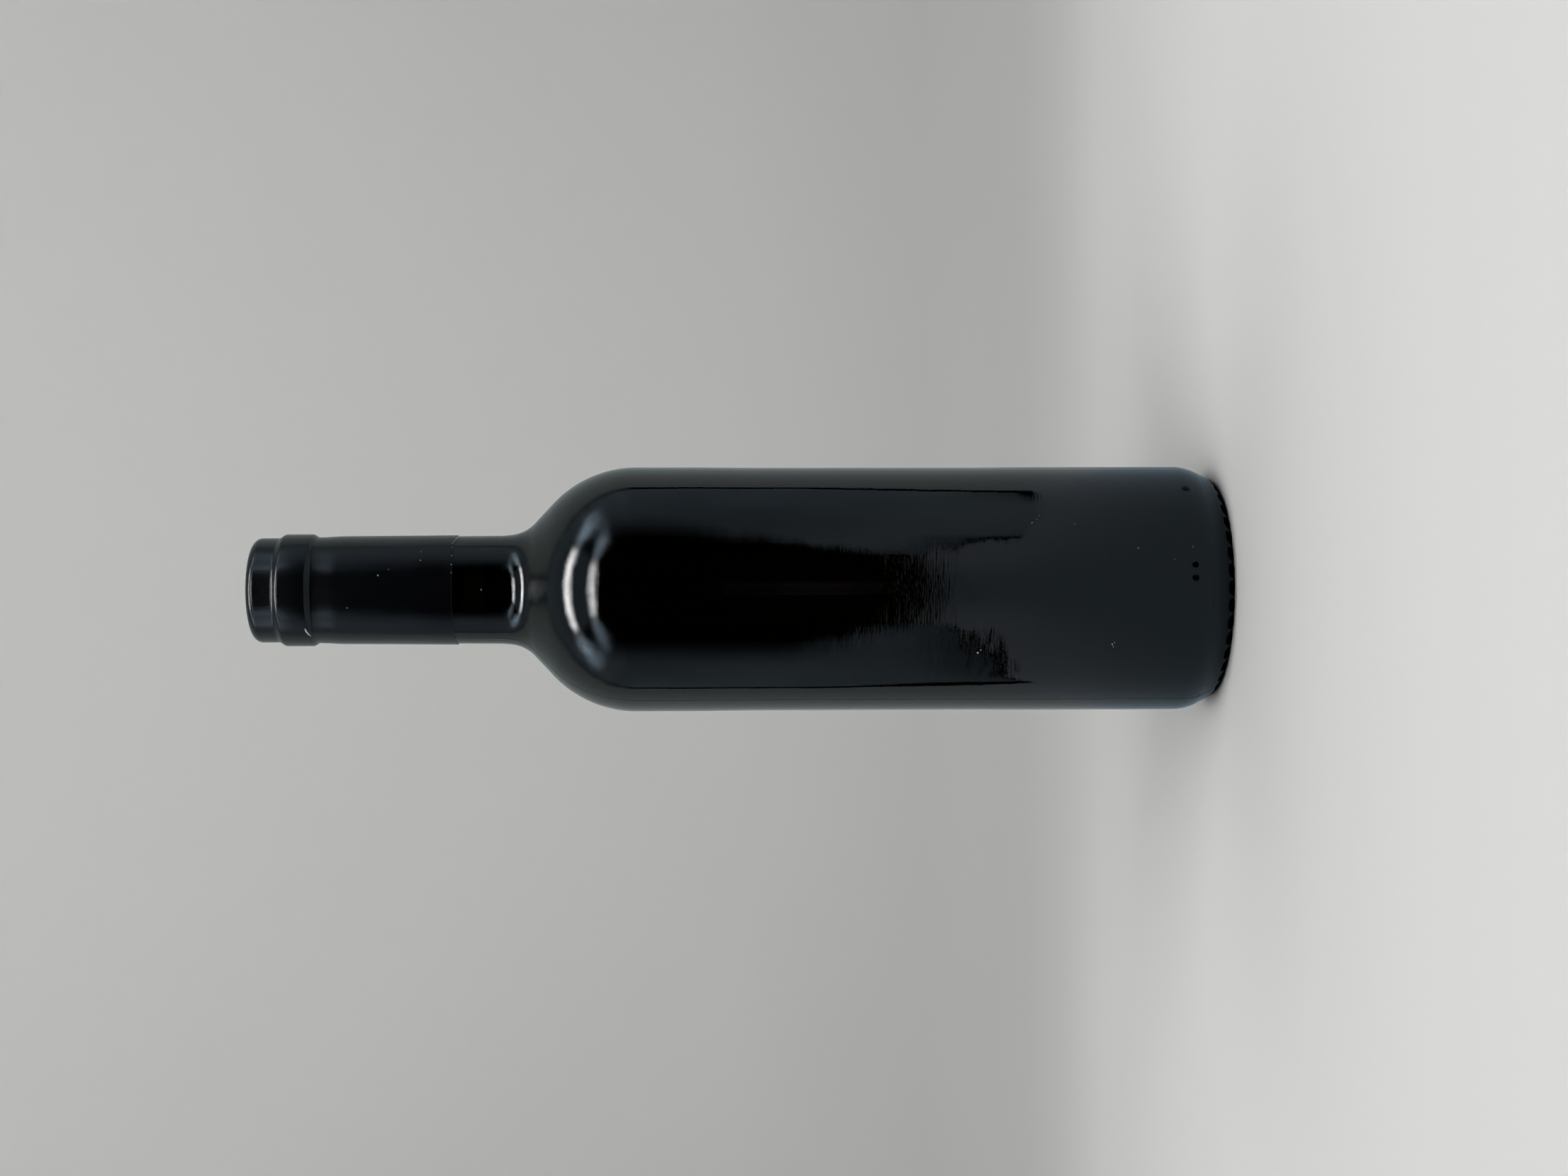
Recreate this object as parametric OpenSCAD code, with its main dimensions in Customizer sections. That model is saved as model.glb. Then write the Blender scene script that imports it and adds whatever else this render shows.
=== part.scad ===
// A half-size wine bottle of the straight-sided, high-shouldered kind.
// The glass is one hollow piece, the wine fills it to the neck, and a capsule covers the mouth.
// Millimetres, +Z up. The origin is the middle of the ring that the bottle stands on.

/* [Body] */
// Outer diameter of the body
body_d = 61; // [50:0.5:80]
// Height of the glass, from the standing ring to the mouth
bottle_h = 239; // [220:1:330]
// How far the middle of the body is sunk to take a label
panel_sink = 0.12; // [0:0.02:0.4]
// Height where the sunk band begins
panel_z0 = 46; // [30:1:60]
// Height where the sunk band ends
panel_z1 = 130; // [100:1:135]
// Length over which the sunk band eases in and out
panel_ease = 16; // [4:1:20]

/* [Shoulder and neck] */
// Height where the straight body ends
shoulder_z = 144.3; // [138:0.1:148]
// Height where the shoulder has become the neck
neck_z = 179; // [176:0.1:186]
// Radius of the hollow curve between shoulder and neck
neck_blend_r = 9.7; // [7:0.1:14]
// Radius of the gentler curve that carries it into the neck
neck_ease_r = 31.4; // [20:0.1:40]
// Turn of that gentler curve, in degrees
neck_ease_turn = 6.4; // [2:0.1:10]
// Straight run between shoulder and hollow curve
shoulder_run = 6.6; // [0:0.1:10]
// Outer diameter at the foot of the neck
neck_d = 27; // [25:0.1:33]
// Outer diameter near the top of the neck
neck_top_d = 26.4; // [24:0.1:29]
// Outer diameter of the waist under the ring
waist_d = 25.9; // [23:0.1:28]

/* [Mouth] */
// Outer diameter of the ring round the mouth
ring_d = 27.4; // [26:0.1:31]
// Height of the ring's outer face
ring_h = 6.8; // [4:0.1:10]
// Height of the lip above the ring's outer face
lip_h = 7.4; // [5:0.1:10]
// Outer diameter of the lip
lip_d = 25.5; // [23:0.1:28]
// Radius of the lip's outer edge
lip_round = 2; // [0.5:0.1:3]
// Diameter of the bore that takes the cork
bore_d = 18.5; // [15:0.1:20]
// Radius of the bore's edge
mouth_round = 0.8; // [0.3:0.1:1.5]

/* [Foot] */
// Height where the straight body begins
heel_h = 10; // [7:0.5:14]
// Radius of the heel
heel_r = 12; // [9:0.5:14]
// Slope of the heel below that curve, from upright
heel_slope = 27; // [15:1:33]
// Radius of the curve onto the standing ring
foot_r = 4.2; // [2:0.1:5]
// Width of the flat standing ring
bearing_w = 1.8; // [1:0.1:3]
// Height of the dome pushed up into the base
punt_h = 11; // [6:0.5:16]
// Number of small bars round the foot
bar_count = 40; // [24:1:60]
// Width of a bar, in degrees round the foot
bar_turn = 6.2; // [3:0.1:7]
// How far a bar stands out from the foot
bar_h = 0.22; // [0.1:0.01:0.4]
// Angle round the foot's curve where a bar ends, from level
bar_top = 42; // [38:1:55]

/* [Glass] */
// Thickness of the body's wall
body_wall = 2.6; // [2:0.1:4]
// Thickness of the glass over the dome
base_wall = 4.2; // [3:0.1:5]
// Radius of the inner corner round the dome
inner_round = 3.8; // [2:0.1:5]

/* [Mould dots] */
// Diameter of a raised dot
dot_d = 1.5; // [0.8:0.1:2.5]
// How far a dot stands out
dot_h = 0.35; // [0.1:0.05:0.6]
// Height of the dots
dot_z = 10.1; // [8:0.1:16]

/* [Wine] */
// Height of the wine's surface
fill_z = 181.5; // [150:0.5:190]

/* [Capsule] */
// Thickness of the capsule's film
film = 0.25; // [0.15:0.05:0.5]
// Length of the capsule, from its edge to the mouth
capsule_l = 50.2; // [40:0.1:58]

/* [Hidden] */
$fn = 96;

glass_colour = [0.05, 0.07, 0.03];
wine_colour = [0.16, 0.02, 0.04];
capsule_colour = [0.03, 0.03, 0.04];

// Where the dots stand, in degrees from the front towards +X
dot_turns = [4.6, 10.6, 52.6];
// Steps in an eased curve, and in an arc
curve_steps = 8;
arc_steps = 14;
ease_steps = 3;
// Sizes of the mouth's eased slopes
waist_ease = 6.4;
ring_under = 1.8;
ring_over = 2.7;
// What a cut runs past the faces that it opens
past = 1;
// How deep a bar or a dot is rooted in the glass
root = 0.5;

body_r = body_d / 2;
neck_r = neck_d / 2;
bore_r = bore_d / 2;

// The shoulder's curve and the hollow curve, whose centres lie so that one straight run touches both
ease_c = [neck_r + neck_ease_r, neck_z];
neck_c = ease_c - (neck_ease_r - neck_blend_r) * [cos(neck_ease_turn), sin(neck_ease_turn)];
rise = neck_c[1] - shoulder_z;
reach = body_r - neck_c[0];
shoulder_r = (reach * reach + rise * rise - pow(neck_blend_r, 2) - pow(shoulder_run, 2))
    / (2 * (reach + neck_blend_r));
shoulder_c = [body_r - shoulder_r, shoulder_z];
curve_gap = neck_c - shoulder_c;
turn = atan2(curve_gap[1], curve_gap[0]) - atan2(shoulder_run, shoulder_r + neck_blend_r);
neck_wall = neck_r - bore_r;

// The heel's curve, the slope below it and the foot's curve
heel_c = [body_r - heel_r, heel_h];
heel_end = heel_c + heel_r * [cos(heel_slope), -sin(heel_slope)];
foot_top_z = foot_r * (1 - sin(heel_slope));
foot_top_r = heel_end[0] - (heel_end[1] - foot_top_z) * tan(heel_slope);
foot_c = [foot_top_r - foot_r * cos(heel_slope), foot_r];
bar_foot = asin(foot_r / (foot_r + bar_h));

// The dome in the base, and the floor of the glass over it
punt_r = foot_c[0] - bearing_w;
punt_ball = (punt_r * punt_r + punt_h * punt_h) / (2 * punt_h);
punt_c = [0, punt_h - punt_ball];
punt_edge = atan2(-punt_c[1], punt_r);
floor_ball = punt_ball + base_wall;
inner_r = body_r - body_wall;
corner_r = inner_r - inner_round;
corner_z = punt_c[1] + sqrt(pow(floor_ball + inner_round, 2) - pow(corner_r, 2));
corner_turn = atan2(corner_z - punt_c[1], corner_r);

// Heights up the neck and the mouth
lip_z = bottle_h - lip_h;
ring_z = lip_z - ring_h;
waist_z = ring_z - ring_under;
capsule_z = bottle_h - capsule_l;

function arc(centre, r, from, to) =
    [for (i = [0:arc_steps]) let (a = from + (to - from) * i / arc_steps) centre + r * [cos(a), sin(a)]];
function mix(a, b, t) = a + (b - a) * t;
function ease(t) = t * t * (3 - 2 * t);
function clamp(t) = min(max(t, 0), 1);
function eased(low, high) =
    [for (i = [0:curve_steps]) let (t = i / curve_steps)
        [mix(low[0], high[0], ease(t)), mix(low[1], high[1], t)]];
function reversed(list) = [for (i = [len(list) - 1:-1:0]) list[i]];

// Radius of the neck's straight taper at a height
function neck_at(z) = mix(neck_r, neck_top_d / 2, (z - neck_z) / (waist_z - waist_ease - neck_z));

// How far the label band is sunk at a height
function sunk(z) =
    panel_sink * ease(clamp((z - panel_z0) / panel_ease)) * ease(clamp((panel_z1 - z) / panel_ease));

// Outline of the foot, from the standing ring up to the body
function foot_outline() = concat(
    arc(foot_c, foot_r, -90, -heel_slope),
    arc(heel_c, heel_r, -heel_slope, 0)
);

// Outline of the body between heel and shoulder
function body_outline() = [
    for (z = [panel_z0:panel_ease / 4:panel_z0 + panel_ease]) [body_r - sunk(z), z],
    for (z = [panel_z1 - panel_ease:panel_ease / 4:panel_z1]) [body_r - sunk(z), z]
];

// Outline of the shoulder, moved inwards by a wall that grows from the first value to the second
function shoulder_outline(low_wall, high_wall) = concat(
    [for (i = [0:arc_steps]) let (t = i / arc_steps, wall = mix(low_wall, high_wall, ease(t / 2)))
        shoulder_c + (shoulder_r - wall) * [cos(turn * t), sin(turn * t)]],
    [for (i = [0:arc_steps]) let (t = i / arc_steps, wall = mix(low_wall, high_wall, ease(0.5 + t / 2)))
        let (a = mix(turn, neck_ease_turn, t))
            neck_c - (neck_blend_r + wall) * [cos(a), sin(a)]],
    [for (i = [1:ease_steps]) let (a = mix(neck_ease_turn, 0, i / ease_steps))
        ease_c - (neck_ease_r + high_wall) * [cos(a), sin(a)]]
);

// Outline from the capsule's edge to the top of the lip, moved outwards by a film
function mouth_outline(out) = concat(
    [[neck_at(capsule_z) + out, capsule_z]],
    eased([neck_top_d / 2 + out, waist_z - waist_ease], [waist_d / 2 + out, waist_z]),
    eased([waist_d / 2 + out, waist_z + 0.1], [ring_d / 2 + out, ring_z]),
    eased([ring_d / 2 + out, lip_z - 0.1], [lip_d / 2 + out, lip_z + ring_over]),
    arc([lip_d / 2 - lip_round, bottle_h - lip_round], lip_round + out, 0, 90)
);

// The glass's outside, with the dome in its base
function glass_outline() = concat(
    [[0, punt_h]],
    reversed(arc(punt_c, punt_ball, punt_edge, 90)),
    foot_outline(),
    body_outline(),
    shoulder_outline(0, 0),
    mouth_outline(0),
    [[0, bottle_h]]
);

// The hollow inside the glass, open at the mouth
function hollow_outline() = concat(
    reversed(arc(punt_c, floor_ball, corner_turn, 90)),
    arc([corner_r, corner_z], inner_round, corner_turn - 180, 0),
    shoulder_outline(body_wall, neck_wall),
    arc([bore_r + mouth_round, bottle_h - mouth_round], mouth_round, 180, 90),
    [[bore_r + mouth_round, bottle_h + past], [0, bottle_h + past]]
);

// One small bar on the foot's curve
module bar() {
    rotate([0, 0, -bar_turn / 2])
        rotate_extrude(angle = bar_turn)
            polygon(concat(
                arc(foot_c, foot_r + bar_h, -bar_foot, -bar_top),
                arc(foot_c, foot_r - root, -bar_top, -bar_foot)
            ));
}

// One raised dot on the heel, facing the front
module dot() {
    ball = (dot_d * dot_d / 4 + dot_h * dot_h) / (2 * dot_h);
    translate([0, -(body_r + dot_h - ball), dot_z])
        sphere(r = ball);
}

// The glass: body, neck and mouth in one piece, with the marks of its mould
module bottle() {
    color(glass_colour)
        union() {
            rotate_extrude()
                difference() {
                    polygon(glass_outline());
                    polygon(hollow_outline());
                }
            for (i = [0:bar_count - 1])
                rotate([0, 0, i * 360 / bar_count])
                    bar();
            for (a = dot_turns)
                rotate([0, 0, a])
                    dot();
        }
}

// The wine fills the hollow up to its level in the neck
module wine() {
    color(wine_colour)
        rotate_extrude()
            intersection() {
                polygon(hollow_outline());
                square([body_r, fill_z]);
            }
}

// The capsule: a thin sleeve drawn over the mouth, with a closed top
module capsule() {
    color(capsule_colour)
        rotate_extrude()
            polygon(concat(
                mouth_outline(film),
                [[0, bottle_h + film], [0, bottle_h]],
                reversed(mouth_outline(0))
            ));
}

bottle();
wine();
capsule();
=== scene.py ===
"""Looks for a small dark green wine bottle: glass, wine, capsule, and the tent of white sheets it stands in.

Lengths are in millimetres until a mesh is made; MM turns them into metres.
Turns are degrees round the bottle, from the front (-Y) towards +X.
"""

import math

import bmesh
import bpy
import numpy as np
from mathutils import Matrix, Vector


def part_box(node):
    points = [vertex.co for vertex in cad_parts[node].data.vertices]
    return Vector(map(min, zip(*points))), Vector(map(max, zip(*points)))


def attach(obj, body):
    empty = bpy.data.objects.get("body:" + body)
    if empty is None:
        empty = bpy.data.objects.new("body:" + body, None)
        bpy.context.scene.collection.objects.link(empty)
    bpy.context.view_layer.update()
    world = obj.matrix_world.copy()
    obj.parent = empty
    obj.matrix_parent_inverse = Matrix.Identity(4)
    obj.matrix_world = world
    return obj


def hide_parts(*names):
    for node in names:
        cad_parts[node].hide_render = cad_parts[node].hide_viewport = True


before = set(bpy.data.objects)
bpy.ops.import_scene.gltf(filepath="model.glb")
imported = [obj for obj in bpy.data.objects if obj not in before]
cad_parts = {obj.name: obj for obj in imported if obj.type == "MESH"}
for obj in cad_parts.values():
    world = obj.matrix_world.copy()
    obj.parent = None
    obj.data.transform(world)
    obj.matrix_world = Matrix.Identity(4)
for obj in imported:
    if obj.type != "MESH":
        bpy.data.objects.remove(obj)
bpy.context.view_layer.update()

MM = 0.001

# ---------------------------------------------------------------- sizes from the frame
_, glass_high = (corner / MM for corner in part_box("bottle"))
_, wine_high = (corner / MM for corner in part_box("wine"))
capsule_low, capsule_high = (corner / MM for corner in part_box("capsule"))

BODY_R = glass_high.x
BOTTLE_H = glass_high.z
FILL_Z = wine_high.z
CAPSULE_Z = capsule_low.z
FILM = capsule_high.z - glass_high.z

# ---------------------------------------------------------------- sizes of the glass
PANEL_SINK = 0.12
PANEL_Z0, PANEL_Z1, PANEL_EASE = 46, 130, 16
SHOULDER_Z = 144.3
NECK_Z = 179
NECK_R = 13.5
NECK_TOP_R = 13.2
BLEND_R = 9.7
EASE_R, EASE_TURN = 31.4, 6.4
SHOULDER_RUN = 6.6
WAIST_R = 12.95
RING_R, RING_H = 13.7, 6.8
LIP_R, LIP_H, LIP_ROUND = 12.75, 7.4, 2.0
BORE_R = 9.25
MOUTH_ROUND = 0.8
HEEL_H, HEEL_R, HEEL_SLOPE = 10, 12, 27
FOOT_R = 4.2
BEARING_W = 1.8
BEARING_ROUND = 0.6
PUNT_H = 11
BODY_WALL, BASE_WALL, INNER_ROUND = 2.6, 4.2, 3.8
BAR_COUNT, BAR_TURN, BAR_H = 40, 6.2, 0.22
BAR_LOW, BAR_HIGH = -74, -42
DOT_D, DOT_H, DOT_Z = 1.5, 0.32, 10.1
DOT_TURNS = (4.6, 10.6, 52.6)
# Shadow in and round each dot: half width, half height and strength, one for each turn
DOT_SHADOWS = ((0.85, 0.62, 1.0), (0.85, 0.62, 1.0), (1.30, 1.20, 0.62))
SEAM_TURNS = (-63, 117)
SEAM_W, SEAM_H = 0.35, 0.05
BASE_LINE_Z = 5.75
WAIST_EASE, RING_UNDER = 6.4, 1.8
SLOPE_UNDER, SLOPE_OVER = 0.6, 1.4


def cos(degrees):
    return math.cos(math.radians(degrees))


def sin(degrees):
    return math.sin(math.radians(degrees))


def mix(a, b, t):
    return a + (b - a) * t


def ease(t):
    t = min(max(t, 0.0), 1.0)
    return t * t * (3 - 2 * t)


def arc(centre, radius, start, end, steps):
    """Points along an arc in the (radius, height) plane."""
    turns = [mix(start, end, i / steps) for i in range(steps + 1)]
    return [(centre[0] + radius * cos(a), centre[1] + radius * sin(a)) for a in turns]


def eased(low, high, steps=12):
    """Points of a slope that starts and ends upright."""
    shares = [i / steps for i in range(steps + 1)]
    return [(mix(low[0], high[0], ease(t)), mix(low[1], high[1], t)) for t in shares]


# The hollow curve and the shoulder's curve, placed so that one straight run touches both
EASE_C = (NECK_R + EASE_R, NECK_Z)
BLEND_C = (
    EASE_C[0] - (EASE_R - BLEND_R) * cos(EASE_TURN),
    EASE_C[1] - (EASE_R - BLEND_R) * sin(EASE_TURN),
)
rise = BLEND_C[1] - SHOULDER_Z
reach = BODY_R - BLEND_C[0]
SHOULDER_R = (reach**2 + rise**2 - BLEND_R**2 - SHOULDER_RUN**2) / (2 * (reach + BLEND_R))
SHOULDER_C = (BODY_R - SHOULDER_R, SHOULDER_Z)
TURN = math.degrees(
    math.atan2(BLEND_C[1] - SHOULDER_C[1], BLEND_C[0] - SHOULDER_C[0])
    - math.atan2(SHOULDER_RUN, SHOULDER_R + BLEND_R)
)
NECK_WALL = NECK_R - BORE_R

# The heel, the foot and the dome in the base
HEEL_C = (BODY_R - HEEL_R, HEEL_H)
FOOT_TOP_Z = FOOT_R * (1 - sin(HEEL_SLOPE))
HEEL_END_Z = HEEL_H - HEEL_R * sin(HEEL_SLOPE)
HEEL_END_R = HEEL_C[0] + HEEL_R * cos(HEEL_SLOPE)
FOOT_TOP_R = HEEL_END_R - (HEEL_END_Z - FOOT_TOP_Z) * math.tan(math.radians(HEEL_SLOPE))
FOOT_C = (FOOT_TOP_R - FOOT_R * cos(HEEL_SLOPE), FOOT_R)
PUNT_R = FOOT_C[0] - BEARING_W
PUNT_BALL = (PUNT_R**2 + PUNT_H**2) / (2 * PUNT_H)
PUNT_C = (0, PUNT_H - PUNT_BALL)
PUNT_EDGE = math.degrees(math.atan2(-PUNT_C[1], PUNT_R))
FLOOR_BALL = PUNT_BALL + BASE_WALL
INNER_R = BODY_R - BODY_WALL
CORNER_R = INNER_R - INNER_ROUND
CORNER_C = (CORNER_R, PUNT_C[1] + math.sqrt((FLOOR_BALL + INNER_ROUND) ** 2 - CORNER_R**2))
CORNER_TURN = math.degrees(math.atan2(CORNER_C[1] - PUNT_C[1], CORNER_R))
LIP_Z = BOTTLE_H - LIP_H
RING_Z = LIP_Z - RING_H
WAIST_Z = RING_Z - RING_UNDER


# ---------------------------------------------------------------- outlines
def sunk(z):
    """How far the label band is sunk at a height."""
    return PANEL_SINK * ease((z - PANEL_Z0) / PANEL_EASE) * ease((PANEL_Z1 - z) / PANEL_EASE)


def neck_at(z):
    """Radius of the neck's straight taper at a height."""
    return mix(NECK_R, NECK_TOP_R, (z - NECK_Z) / (WAIST_Z - WAIST_EASE - NECK_Z))


def foot_outline():
    return (
        arc(FOOT_C, FOOT_R, -90, -HEEL_SLOPE, 26)
        + arc(HEEL_C, HEEL_R, -HEEL_SLOPE, -5.2, 10)
        + arc(HEEL_C, HEEL_R, -4.4, 0, 6)
    )


def body_outline():
    dot_rings = [DOT_Z + DOT_D * (i / 8 - 0.5) * 1.15 for i in range(9)]
    rings = [z for z in dot_rings if z > HEEL_H] + [11.2, 12, 14, 26, 38]
    rings += [PANEL_Z0 + PANEL_EASE * i / 6 for i in range(7)]
    rings += [74, 88, 102]
    rings += [PANEL_Z1 - PANEL_EASE * (1 - i / 6) for i in range(7)]
    return [(BODY_R - sunk(z), z) for z in rings]


def shoulder_outline(low_wall, high_wall, steps=(34, 22, 6)):
    """The shoulder from body to neck, moved inwards by a wall that grows on the way."""
    points = []
    for i in range(steps[0] + 1):
        t = i / steps[0]
        radius = SHOULDER_R - mix(low_wall, high_wall, ease(t / 2))
        points.append((SHOULDER_C[0] + radius * cos(TURN * t), SHOULDER_C[1] + radius * sin(TURN * t)))
    for i in range(steps[1] + 1):
        t = i / steps[1]
        a = mix(TURN, EASE_TURN, t)
        radius = BLEND_R + mix(low_wall, high_wall, ease(0.5 + t / 2))
        points.append((BLEND_C[0] - radius * cos(a), BLEND_C[1] - radius * sin(a)))
    for i in range(1, steps[2] + 1):
        a = mix(EASE_TURN, 0, i / steps[2])
        radius = EASE_R + high_wall
        points.append((EASE_C[0] - radius * cos(a), EASE_C[1] - radius * sin(a)))
    return points


def mouth_outline(out):
    """The neck and mouth above the capsule's edge, moved outwards by a film."""
    neck_end = WAIST_Z - WAIST_EASE
    straight = [CAPSULE_Z + (neck_end - CAPSULE_Z) * i / 3 for i in range(3)]
    return (
        [(neck_at(z) + out, z) for z in straight]
        + eased((NECK_TOP_R + out, neck_end), (WAIST_R + out, WAIST_Z))
        + eased((WAIST_R + out, WAIST_Z + 0.1), (RING_R + out, RING_Z))
        + [(RING_R + out, mix(RING_Z, LIP_Z, 0.5))]
        + eased((RING_R + out, LIP_Z - SLOPE_UNDER), (LIP_R + out, LIP_Z + SLOPE_OVER))
        + arc((LIP_R - LIP_ROUND, BOTTLE_H - LIP_ROUND), LIP_ROUND + out, 0, 90, 14)
    )


def glass_outline():
    """The skin of the glass: from the dome's middle up to the mouth, and from the rim down inside."""
    rim = (BORE_R + MOUTH_ROUND, BOTTLE_H - MOUTH_ROUND)
    outside = (
        [(0, PUNT_H)]
        + arc(PUNT_C, PUNT_BALL, 86, PUNT_EDGE + 1.2, 12)
        + arc((PUNT_R + BEARING_ROUND, BEARING_ROUND), BEARING_ROUND, 215, 270, 5)
        + foot_outline()
        + body_outline()
        + shoulder_outline(0, 0)
        + mouth_outline(0)
    )
    inside = (
        arc(rim, MOUTH_ROUND, 90, 180, 5)
        + [(BORE_R, z) for z in (225, 205, 188)]
        + shoulder_outline(BODY_WALL, NECK_WALL, (14, 10, 3))[::-1]
        + [(INNER_R, z) for z in (100, 55)]
        + arc(CORNER_C, INNER_ROUND, 0, CORNER_TURN - 180, 8)
        + arc(PUNT_C, FLOOR_BALL, CORNER_TURN, 86, 10)
        + [(0, PUNT_C[1] + FLOOR_BALL)]
    )
    return outside, inside


# ---------------------------------------------------------------- meshes turned on a lathe
def lathe_turns(extra=()):
    """Columns round the bottle, closer at the sides of each foot bar and at marks named in extra."""
    pitch = 360 / BAR_COUNT
    in_bar = (0.78, 0.92, 1.08)
    offsets = [0] + [s * BAR_TURN / 2 * share for share in in_bar for s in (-1, 1)]
    turns = {round(pitch * i + off, 4) % 360 for i in range(BAR_COUNT) for off in offsets}
    for middle, half, steps in extra:
        turns |= {round(middle + half * (2 * i / steps - 1), 4) % 360 for i in range(steps + 1)}
    kept = []
    for turn in sorted(turns):
        if not kept or turn - kept[-1] > 0.04:
            kept.append(turn)
    return kept


def lathe(name, outline, turns, relief=None, inside_from=None):
    """A closed skin from an outline that starts and ends on the axis."""
    rings = [p for i, p in enumerate(outline) if i == 0 or math.dist(p, outline[i - 1]) > 1e-4]
    radius = np.array([p[0] for p in rings[1:-1]])
    height = np.array([p[1] for p in rings[1:-1]])
    angle = np.radians(np.array(turns))
    grid_r = np.repeat(radius[:, None], len(turns), 1)
    grid_z = np.repeat(height[:, None], len(turns), 1)
    if relief:
        slope = np.gradient(np.array([[p[0], p[1]] for p in rings]), axis=0)[1:-1]
        slope /= np.linalg.norm(slope, axis=1)[:, None]
        lift = relief(np.array(turns)[None, :], grid_r, grid_z)
        grid_r = grid_r + lift * slope[:, 1:2]
        grid_z = grid_z - lift * slope[:, 0:1]
    x = grid_r * np.sin(angle)
    y = -grid_r * np.cos(angle)
    points = np.stack([x, y, grid_z], -1).reshape(-1, 3)
    points = np.vstack([points, [[0, 0, rings[0][1]], [0, 0, rings[-1][1]]]]) * MM
    count, columns = len(radius), len(turns)
    row = np.arange(columns)
    beside = (row + 1) % columns
    faces = []
    for i in range(count - 1):
        low, high = i * columns, (i + 1) * columns
        faces += np.stack([low + row, low + beside, high + beside, high + row], -1).tolist()
    first, last = len(points) - 2, len(points) - 1
    top = (count - 1) * columns
    faces += [[first, b, a] for a, b in zip(row.tolist(), beside.tolist())]
    faces += [[last, top + a, top + b] for a, b in zip(row.tolist(), beside.tolist())]
    mesh = bpy.data.meshes.new(name)
    mesh.from_pydata(points.tolist(), [], faces)
    shell = bmesh.new()
    shell.from_mesh(mesh)
    bmesh.ops.recalc_face_normals(shell, faces=shell.faces)
    shell.to_mesh(mesh)
    shell.free()
    mesh.shade_smooth()
    if inside_from:
        rows = [i for i, ring in enumerate(rings[1:-1]) if ring == inside_from][0]
        inside = np.zeros(len(points))
        inside[rows * columns:] = 1
        inside[first] = 0
        mesh.attributes.new("inside", "FLOAT", "POINT").data.foreach_set("value", inside)
    return mesh


def apart(turns, middle):
    """Signed degrees from a middle, the short way round."""
    return (turns - middle + 180) % 360 - 180


def bell(x):
    """A smooth hump that is 1 in the middle and 0 from 1 outwards."""
    return np.clip(1 - x**2, 0, 1) ** 2


def mould_relief(turns, radius, height):
    """Raised dots and mould seams, in millimetres out of the skin."""
    outside = (radius > INNER_R + 0.5) | (height > SHOULDER_Z) | (height < HEEL_H)
    outside &= (height < CAPSULE_Z) & ~((radius < NECK_R - 0.6) & (height > SHOULDER_Z))
    lift = np.zeros(np.broadcast_shapes(turns.shape, radius.shape))
    for turn in DOT_TURNS:
        across = np.radians(apart(turns, turn)) * BODY_R
        reach2 = (across**2 + (height - DOT_Z) ** 2) / (DOT_D / 2) ** 2
        lift += DOT_H * np.sqrt(np.clip(1 - reach2, 0, 1))
    for turn in SEAM_TURNS:
        across = np.radians(apart(turns, turn)) * radius
        lift += SEAM_H * bell(across / (SEAM_W / 2)) * (height > FOOT_TOP_Z)
    return lift * outside


# ---------------------------------------------------------------- node recipes
class Value:
    """A socket that takes arithmetic: each operation adds one Math node."""

    def __init__(self, recipe, socket):
        self.recipe = recipe
        self.socket = socket

    def math(self, operation, *terms):
        return self.recipe.node("ShaderNodeMath", {"operation": operation}, dict(enumerate(terms)))

    def __add__(self, other):
        return self.math("ADD", self, other)

    def __radd__(self, other):
        return self.math("ADD", other, self)

    def __sub__(self, other):
        return self.math("SUBTRACT", self, other)

    def __rsub__(self, other):
        return self.math("SUBTRACT", other, self)

    def __mul__(self, other):
        return self.math("MULTIPLY", self, other)

    def __rmul__(self, other):
        return self.math("MULTIPLY", other, self)

    def __truediv__(self, other):
        return self.math("DIVIDE", self, other)

    def __abs__(self):
        return self.math("ABSOLUTE", self)

    def above(self, other):
        return self.math("GREATER_THAN", self, other)

    def larger(self, other):
        return self.math("MAXIMUM", self, other)

    def smaller(self, other):
        return self.math("MINIMUM", self, other)

    def smooth(self, low, high):
        """0 below low, 1 above high, eased between."""
        settings = {"interpolation_type": "SMOOTHSTEP"}
        inputs = {"Value": self, "From Min": low, "From Max": high}
        return self.recipe.node("ShaderNodeMapRange", settings, inputs)

    def rise(self, low, high):
        """As smooth, with both ends in millimetres."""
        return self.smooth(low * MM, high * MM)


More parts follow.
